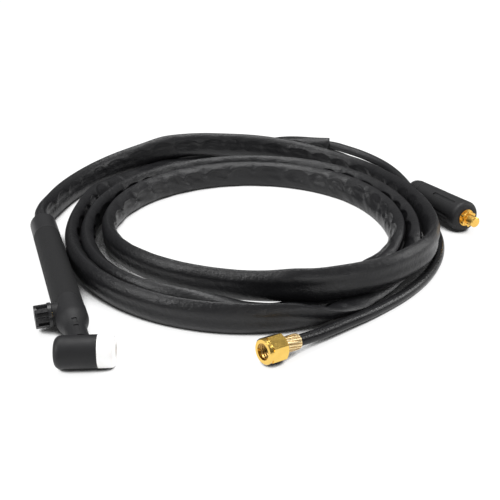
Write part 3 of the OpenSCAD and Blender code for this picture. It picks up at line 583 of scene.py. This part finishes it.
def grain(tree, shader, scale, depth, over=None):
    relief = node(tree, "ShaderNodeBump", Strength=1.0, Distance=depth)
    tree.links.new(noise_at(tree, Scale=scale, Detail=3.0, Roughness=0.6), relief.inputs["Height"])
    if over is not None:
        tree.links.new(over.outputs["Normal"], relief.inputs["Normal"])
    tree.links.new(relief.outputs["Normal"], shader.inputs["Normal"])
    return relief


def vary(tree, shader, socket, low, high, scale, seed=0.0):
    place = node(tree, "ShaderNodeTexCoord")
    shift = node(tree, "ShaderNodeMapping")
    shift.inputs["Location"].default_value = (seed, seed * 0.7, seed * 1.3)
    noise = node(tree, "ShaderNodeTexNoise", Scale=scale, Detail=4.0, Roughness=0.55)
    tree.links.new(place.outputs["Object"], shift.inputs["Vector"])
    tree.links.new(shift.outputs["Vector"], noise.inputs["Vector"])
    if isinstance(low, tuple):
        value = mixed(tree, noise.outputs["Fac"], low, high)
    else:
        value = spread(tree, noise.outputs["Fac"], 0.3, 0.7, low, high)
    tree.links.new(value, shader.inputs[socket])


print("surface helpers:", [f.__name__ for f in (noise_at, grain, vary)])

# %% [markdown]
# ## Soft black finishes
# The sleeve is calendered plastic with a low gloss and a fine leather grain, in three sizes
# laid over each other. The cable is matt rubber. Neither is pure black: a little blue-grey and
# a roughness that wanders keep them from looking like holes.

# %% Sleeve and cable
sleeve_skin, tree, shader = finish("sleeve_skin", (0.008, 0.008, 0.009), 0.38, specular=0.36)
vary(tree, shader, "Base Color", (0.006, 0.006, 0.007), (0.011, 0.011, 0.012), 30)
vary(tree, shader, "Roughness", 0.32, 0.45, 45, 3.0)
creases = grain(tree, shader, 260, 0.0005)
pebbles = grain(tree, shader, 900, 0.00012, over=creases)
grain(tree, shader, 3200, 0.00004, over=pebbles)
sleeve.data.materials.append(sleeve_skin)

cable_skin, tree, shader = finish("cable_skin", (0.009, 0.009, 0.010), 0.45, specular=0.4)
vary(tree, shader, "Roughness", 0.4, 0.55, 120)
grain(tree, shader, 2600, 0.00004)
cable.data.materials.append(cable_skin)
print("finishes:", sleeve_skin.name, cable_skin.name)

# %% [markdown]
# ## The hose and its marks
# The hose is the glossiest of the three. A row of short pale specks runs along its top, as worn
# print would. It carries no words. The specks come from the place along and round the tube that
# the mesh wrote down: a narrow strip, broken up by a noise.

# %% Hose
STRIP_AT, STRIP_HALF = 0.72 * LINE_D / 2 * math.pi, 0.85
hose_skin, tree, shader = finish("hose_skin", (0.006, 0.006, 0.007), 0.28, specular=0.24)
vary(tree, shader, "Roughness", 0.22, 0.34, 160)
grain(tree, shader, 1500, 0.00006)
place = node(tree, "ShaderNodeAttribute", attribute_name="tube_place")
apart = node(tree, "ShaderNodeSeparateXYZ")
specks = node(tree, "ShaderNodeTexNoise", Scale=1.15, Detail=2.0, Roughness=0.7)
tree.links.new(place.outputs["Vector"], apart.inputs[0])
tree.links.new(place.outputs["Vector"], specks.inputs["Vector"])
strip = maths(tree, "COMPARE", apart.outputs["Y"], STRIP_AT, STRIP_HALF)
marks = maths(tree, "MULTIPLY", strip, maths(tree, "GREATER_THAN", specks.outputs["Fac"], 0.54))
printed = mixed(tree, marks, (0.008, 0.008, 0.009), (0.10, 0.10, 0.10))
tree.links.new(printed, shader.inputs["Base Color"])
hose.data.materials.append(hose_skin)
print("finish:", hose_skin.name)

# %% [markdown]
# ## The grip
# The grip is a moulded tube. Its rear 28 mm are a smooth collar, and the rest has a fine
# stipple that makes it darker and duller. One mask, from the place along the handset, switches
# the relief, the speckled colour and the roughness together.

# %% Grip
COLLAR_FRONT = 0.0853
grip_skin, tree, shader = finish("grip_skin", (0.016, 0.016, 0.017), 0.55, specular=0.34)
stipple = grain(tree, shader, 3000, 0.00016)
where = node(tree, "ShaderNodeNewGeometry")
apart = node(tree, "ShaderNodeSeparateXYZ")
tree.links.new(where.outputs["Position"], apart.inputs[0])
stippled = maths(tree, "LESS_THAN", apart.outputs["Y"], COLLAR_FRONT)
tree.links.new(stippled, stipple.inputs["Strength"])
speckle = noise_at(tree, Scale=1000, Detail=3.0, Roughness=0.8)
speckled = mixed(tree, speckle, (0.001, 0.001, 0.0012), (0.014, 0.014, 0.015))
grip_color = mixed(tree, stippled, (0.016, 0.016, 0.017), speckled)
tree.links.new(grip_color, shader.inputs["Base Color"])
tree.links.new(maths(tree, "MULTIPLY_ADD", stippled, 0.35, 0.45), shader.inputs["Roughness"])
print("finish:", grip_skin.name)

# %% [markdown]
# ## The rest of the handset
# The housing and the head are satin. The knob is a harder, shinier plastic, coloured paler where
# the mesh is most pointed, on its ribs and edges. The ring at the nozzle side is white and
# slightly waxy, so a little light goes into it.

# %% Housing, head, knob and ring
housing_skin, tree, shader = finish("housing_skin", (0.012, 0.012, 0.013), 0.5, specular=0.3)
vary(tree, shader, "Roughness", 0.5, 0.6, 90)
grain(tree, shader, 2400, 0.00002)

head_skin, tree, shader = finish("head_skin", (0.010, 0.010, 0.011), 0.45, specular=0.32)
vary(tree, shader, "Roughness", 0.45, 0.6, 110)
grain(tree, shader, 2000, 0.00003)

knob_skin, tree, shader = finish("knob_skin", (0.010, 0.010, 0.011), 0.3, specular=0.45)
vary(tree, shader, "Roughness", 0.22, 0.42, 300)
grain(tree, shader, 1200, 0.00003)
shape = node(tree, "ShaderNodeNewGeometry")
# Paler colour where the mesh is most pointed.
ridge = spread(tree, shape.outputs["Pointiness"], 0.6, 0.75)
pointed_edge_paler = mixed(tree, ridge, (0.010, 0.010, 0.011), (0.035, 0.035, 0.037))
tree.links.new(pointed_edge_paler, shader.inputs["Base Color"])

ring_skin, tree, shader = finish("ring_skin", (0.97, 0.965, 0.95), 0.35)
shader.inputs["Subsurface Weight"].default_value = 0.15
shader.inputs["Subsurface Radius"].default_value = (0.004, 0.0035, 0.003)
vary(tree, shader, "Roughness", 0.34, 0.48, 150)
grain(tree, shader, 900, 0.00002)
print("finishes:", housing_skin.name, head_skin.name, knob_skin.name, ring_skin.name)


# %% [markdown]
# ## Metals
# Brass is the workhorse here. Turned pieces show fine marks and small changes of gloss, so the
# roughness wanders and a little tarnish tints the colour.

# %% Metal materials
def metal(name, color, dull, rough):
    mat, tree, shader = finish(name, color, rough, metal=1.0)
    vary(tree, shader, "Base Color", dull, color, 140, 2.0)
    vary(tree, shader, "Roughness", rough * 0.7, rough * 1.4, 280, 5.0)
    grain(tree, shader, 2600, 0.00002)
    return mat


brass = metal("brass", (0.80, 0.58, 0.27), (0.62, 0.43, 0.18), 0.28)
nut_gold = metal("nut_gold", (0.93, 0.64, 0.17), (0.80, 0.50, 0.11), 0.18)
ferrule_gold = metal("ferrule_gold", (0.97, 0.83, 0.52), (0.88, 0.7, 0.38), 0.34)
pin_gold = metal("pin_gold", (0.95, 0.63, 0.16), (0.85, 0.5, 0.11), 0.36)
copper = metal("copper", (0.82, 0.45, 0.3), (0.6, 0.3, 0.2), 0.3)
steel = metal("steel", (0.55, 0.55, 0.56), (0.4, 0.4, 0.41), 0.35)
print("metals:", brass.name, nut_gold.name, ferrule_gold.name, pin_gold.name, copper.name, steel.name)

# %% [markdown]
# ## Lines pressed into the ferrule
# The ferrule is crimped in a die with flutes, which leaves slanting lines round it. They are drawn
# with a wave in the angle about its axis, made from two directions square to that axis. The
# wave presses the surface in a little, and a painted shade darkens the colour at the bottom of each
# line.

# %% Fluted ferrule
FLUTES, SLANT = 16, 500  # lines round the ferrule, and their slant in radians per metre
tree = ferrule_gold.node_tree
shader = tree.nodes["Principled BSDF"]
nut_axis = nut_point(1) - nut_point(0)
sideways = np.array([-nut_axis[1], nut_axis[0], 0]) / np.hypot(nut_axis[0], nut_axis[1])
upways = np.cross(nut_axis, sideways)
where = node(tree, "ShaderNodeNewGeometry")
from_front = node(tree, "ShaderNodeVectorMath", operation="SUBTRACT")
from_front.inputs[1].default_value = (nut_point(0) * MM).tolist()
tree.links.new(where.outputs["Position"], from_front.inputs[0])
parts = []
for way in (nut_axis, sideways, upways):
    part = node(tree, "ShaderNodeVectorMath", operation="DOT_PRODUCT")
    part.inputs[1].default_value = way.tolist()
    tree.links.new(from_front.outputs[0], part.inputs[0])
    parts.append(part.outputs["Value"])
round_it = maths(tree, "MULTIPLY", maths(tree, "ARCTAN2", parts[1], parts[2]), FLUTES)
flute = maths(tree, "SINE", maths(tree, "MULTIPLY_ADD", parts[0], SLANT, round_it))
pressed = node(tree, "ShaderNodeBump", Strength=1.0, Distance=0.00004)
tree.links.new(flute, pressed.inputs["Height"])
tree.links.new(shader.inputs["Normal"].links[0].from_socket, pressed.inputs["Normal"])
tree.links.new(pressed.outputs["Normal"], shader.inputs["Normal"])
bright = shader.inputs["Base Color"].links[0].from_socket
# Painted shade: the bottom of each line is coloured darker.
groove_painted_shade = mixed(tree, spread(tree, flute, -1.0, 0.6), (0.48, 0.30, 0.12), bright)
tree.links.new(groove_painted_shade, shader.inputs["Base Color"])
print("flutes:", FLUTES)

# %% [markdown]
# ## The thread in the nut
# The nut's bore is a plain wall in the solid model. Its thread is a ridge wound inside it, made
# as a mesh of four points swept along a helix, so that its edges catch the light. It rides on
# the nut and turns with it.

# %% Thread in the nut
PITCH, THREAD_WALL, THREAD_CREST = 1.8, 5.8, 4.95
THREAD_START, THREAD_TURNS = 1.4, 4.7
ROOT_HALF, CREST_HALF = 0.8, 0.12
turn = np.arange(0, THREAD_TURNS * 2 * np.pi, np.radians(6))
outward = np.cos(turn)[:, None] * sideways + np.sin(turn)[:, None] * upways
inward_run = THREAD_START + PITCH * turn[:, None] / (2 * np.pi)
profile = ((THREAD_WALL, -ROOT_HALF), (THREAD_CREST, -CREST_HALF),
           (THREAD_CREST, CREST_HALF), (THREAD_WALL, ROOT_HALF))
thread_grid = np.stack([nut_point(0) + (inward_run + down) * nut_axis + radius * outward
                        for radius, down in profile], 1)
nut_thread = tube_object("nut_thread", thread_grid, close_ends=True, rounded=False)
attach(nut_thread, "gas_nut")
# The thread's brass is darker than the nut's: a painted shade for the inside of the bore.
thread_shaded_brass = metal("thread_shaded_brass", (0.50, 0.31, 0.10), (0.32, 0.19, 0.06), 0.3)
nut_thread.data.materials.append(thread_shaded_brass)
print("thread turns:", round(turn[-1] / (2 * np.pi), 1))

# %% [markdown]
# ## Seals, washers and the boot
# The seals are plain matt rubber and the washers a pale, slightly glossy plastic. The plug's
# boot is moulded rubber, a little greyer and duller than the handset.

# %% Seals, washers and boot
seal_skin, tree, shader = finish("seal_skin", (0.02, 0.02, 0.02), 0.6)
grain(tree, shader, 2000, 0.00003)

washer_skin, tree, shader = finish("washer_skin", (0.8, 0.79, 0.75), 0.5)
grain(tree, shader, 2000, 0.00002)

boot_skin, tree, shader = finish("boot_skin", (0.012, 0.012, 0.013), 0.5, specular=0.34)
vary(tree, shader, "Base Color", (0.010, 0.010, 0.011), (0.015, 0.015, 0.016), 70)
vary(tree, shader, "Roughness", 0.48, 0.64, 130)
grain(tree, shader, 2200, 0.00006)
print("finishes:", seal_skin.name, washer_skin.name, boot_skin.name)

# %% [markdown]
# ## Dress the rigid pieces
# The rigid pieces keep the shapes of the CAD model. Each only takes its finish here.

# %% Finishes of the rigid pieces
for mat, names in (
        (head_skin, ["head_cover"]), (ring_skin, ["cup_insulator"]), (housing_skin, ["valve_housing"]),
        (grip_skin, ["grip_tube"]), (knob_skin, ["valve_knob"]), (nut_gold, ["hose_nut"]),
        (ferrule_gold, ["hose_ferrule"]), (pin_gold, ["plug_pin"]), (boot_skin, ["plug_boot"]),
        (brass, ["head_core", "valve_body", "packing_nut", "valve_stem", "gas_barb", "hose_tail"]),
        (copper, ["neck_tube", "cable_terminal", "cable_conductor", "cable_ferrule"]),
        (steel, ["knob_screw", "hose_clamp", "clamp_screws"]), (seal_skin, ["stem_o_ring", "rear_bush"]),
        (washer_skin, ["gland_washer", "hose_seal"])):
    for name in names:
        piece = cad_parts[name]
        piece.data.materials.clear()
        piece.data.materials.append(mat)
print("nodes in the model:", len(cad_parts))

# %% [markdown]
# ## The table
# The object lies on a wide white table, one flat square with its top at height zero. It is
# stage, so it isn't part of the model.

# %% Table
TABLE_HALF = 6.0
CORNERS = [(-TABLE_HALF, -TABLE_HALF, 0), (TABLE_HALF, -TABLE_HALF, 0),
           (TABLE_HALF, TABLE_HALF, 0), (-TABLE_HALF, TABLE_HALF, 0)]
mesh = bpy.data.meshes.new("table")
mesh.from_pydata(CORNERS, [], [(0, 1, 2, 3)])
table = bpy.data.objects.new("table", mesh)
bpy.context.collection.objects.link(table)
print("table side, m:", 2 * TABLE_HALF)

# %% [markdown]
# ## The table's paper
# The table is seen white by the camera and in reflections, yet it still takes a faint shadow,
# because part of its brightness is real light. Deep between the strands an occlusion node finds
# little open room, and there a painted shade cuts its glow and its colour, so that it goes dark.
# Far from the lamps its own light takes over, so that it stays white to its edge.

# %% Paper white of the table
OWN_LIGHT, TAKEN_LIGHT = 0.88, 0.18  # how much the paper glows, and how much light it takes
paper = bpy.data.materials.new("paper")
paper.use_nodes = True
tree = paper.node_tree
tree.nodes.clear()
out = node(tree, "ShaderNodeOutputMaterial")
plain = node(tree, "ShaderNodeBsdfDiffuse", Color=(0.9, 0.9, 0.9, 1))
shown = node(tree, "ShaderNodeBsdfDiffuse")
glow = node(tree, "ShaderNodeEmission", Color=(1, 1, 1, 1))
near = node(tree, "ShaderNodeAmbientOcclusion", Distance=0.07, samples=20)
# Painted shade: the glow and the colour fall where the table sees little open room.
painted_shade_factor = spread(tree, near.outputs["AO"], 0.24, 0.36, 0.02, 1.0)
where = node(tree, "ShaderNodeNewGeometry")
afar = node(tree, "ShaderNodeVectorMath", operation="LENGTH")
tree.links.new(where.outputs["Position"], afar.inputs[0])
far_glow = spread(tree, afar.outputs["Value"], 0.6, 1.8, 0.0, 0.14)
near_glow = maths(tree, "MULTIPLY", painted_shade_factor, OWN_LIGHT)
tree.links.new(maths(tree, "ADD", near_glow, far_glow), glow.inputs["Strength"])
tree.links.new(maths(tree, "MULTIPLY", painted_shade_factor, TAKEN_LIGHT), shown.inputs["Color"])
both = node(tree, "ShaderNodeAddShader")
tree.links.new(shown.outputs[0], both.inputs[0])
tree.links.new(glow.outputs[0], both.inputs[1])
path = node(tree, "ShaderNodeLightPath")
seen = maths(tree, "MAXIMUM", path.outputs["Is Camera Ray"], path.outputs["Is Glossy Ray"])
seen = maths(tree, "MAXIMUM", seen, path.outputs["Is Transmission Ray"])
pick = node(tree, "ShaderNodeMixShader")
tree.links.new(seen, pick.inputs[0])
tree.links.new(plain.outputs[0], pick.inputs[1])
tree.links.new(both.outputs[0], pick.inputs[2])
tree.links.new(pick.outputs[0], out.inputs[0])
table.data.materials.append(paper)
print("finish:", paper.name)

# %% [markdown]
# ## The room
# The room gives a soft, even light, stronger from above than from the walls, which gives metal
# its dark stripes. Beyond the table's edge the camera sees plain white instead.

# %% World
world = bpy.data.worlds.new("studio")
bpy.context.scene.world = world
world.use_nodes = True
tree = world.node_tree
tree.nodes.clear()
out = node(tree, "ShaderNodeOutputWorld")
room = node(tree, "ShaderNodeBackground", Color=(1, 1, 1, 1))
white = node(tree, "ShaderNodeBackground", Color=(1, 1, 1, 1), Strength=1.0)
toward = node(tree, "ShaderNodeTexCoord")
apart = node(tree, "ShaderNodeSeparateXYZ")
tree.links.new(toward.outputs["Generated"], apart.inputs[0])
tree.links.new(spread(tree, apart.outputs["Z"], 0.05, 0.75, 0.05, 0.36), room.inputs["Strength"])
path = node(tree, "ShaderNodeLightPath")
pick = node(tree, "ShaderNodeMixShader")
tree.links.new(path.outputs["Is Camera Ray"], pick.inputs[0])
tree.links.new(room.outputs[0], pick.inputs[1])
tree.links.new(white.outputs[0], pick.inputs[2])
tree.links.new(pick.outputs[0], out.inputs[0])
print("world:", world.name)


# %% [markdown]
# ## The lamps
# Four softboxes stand round the table. The one above gives the sleeve's upper edges their
# shine, the two at the sides draw its bends, and a weak one in front lifts the faces that lean
# out over the table.

# %% Lamps
def softbox(name, where, aim_at, width, power):
    data = bpy.data.lights.new(name, "AREA")
    data.shape = "RECTANGLE"
    data.size, data.size_y = width
    data.energy = power
    lamp = bpy.data.objects.new(name, data)
    lamp.location = where
    lamp.rotation_euler = (Vector(aim_at) - Vector(where)).to_track_quat("-Z", "Y").to_euler()
    bpy.context.collection.objects.link(lamp)
    print(name, "power, W:", power)


softbox("top_softbox", (0.16, 0.25, 1.0), (0.16, 0.05, 0), (1.1, 0.4), 10.8)
softbox("left_softbox", (-0.9, -0.1, 0.6), (0.05, 0.0, 0), (0.4, 0.6), 7)
softbox("right_softbox", (1.2, -0.2, 0.5), (0.2, 0.0, 0), (0.5, 0.7), 5)
softbox("front_softbox", (0.25, -1.3, 0.3), (0.16, -0.2, 0), (1.4, 0.3), 4)

# %% [markdown]
# ## Finish
# The standard view transform shows colours as they were chosen.

# %% Finish
bpy.context.scene.view_settings.view_transform = "Standard"
